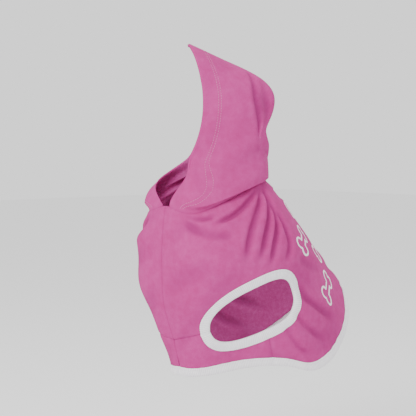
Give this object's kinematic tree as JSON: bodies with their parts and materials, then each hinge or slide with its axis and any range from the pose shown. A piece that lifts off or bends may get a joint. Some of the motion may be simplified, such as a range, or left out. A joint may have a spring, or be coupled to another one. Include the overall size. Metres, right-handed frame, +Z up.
{
  "type": "dog hoodie",
  "caption": "Sleeveless knitted coat for a medium-sized dog with a raised hood, a chest panel between the front legs and bound armholes and hem.",
  "frame": {"origin": "middle of the neck seam, where the garment sits on the wearer's neck", "axes": "-X to the wearer's chest, -Y to the wearer's left, +Z up, as worn by a sitting dog"},
  "size_m": [0.303, 0.186, 0.4086],
  "materials": {
    "fleece": "matte knitted fleece",
    "binding": "matte ribbed knit",
    "thread": "satin sewing thread",
    "print": "matte screen printed ink"
  },
  "bodies": {
    "root": {"body_panel": "fleece", "belly_panel_left": "fleece", "belly_panel_right": "fleece", "hood_panel_left": "fleece", "hood_panel_right": "fleece", "armhole_binding_left": "binding", "armhole_binding_right": "binding", "hem_binding": "binding"}
  },
  "joints": []
}
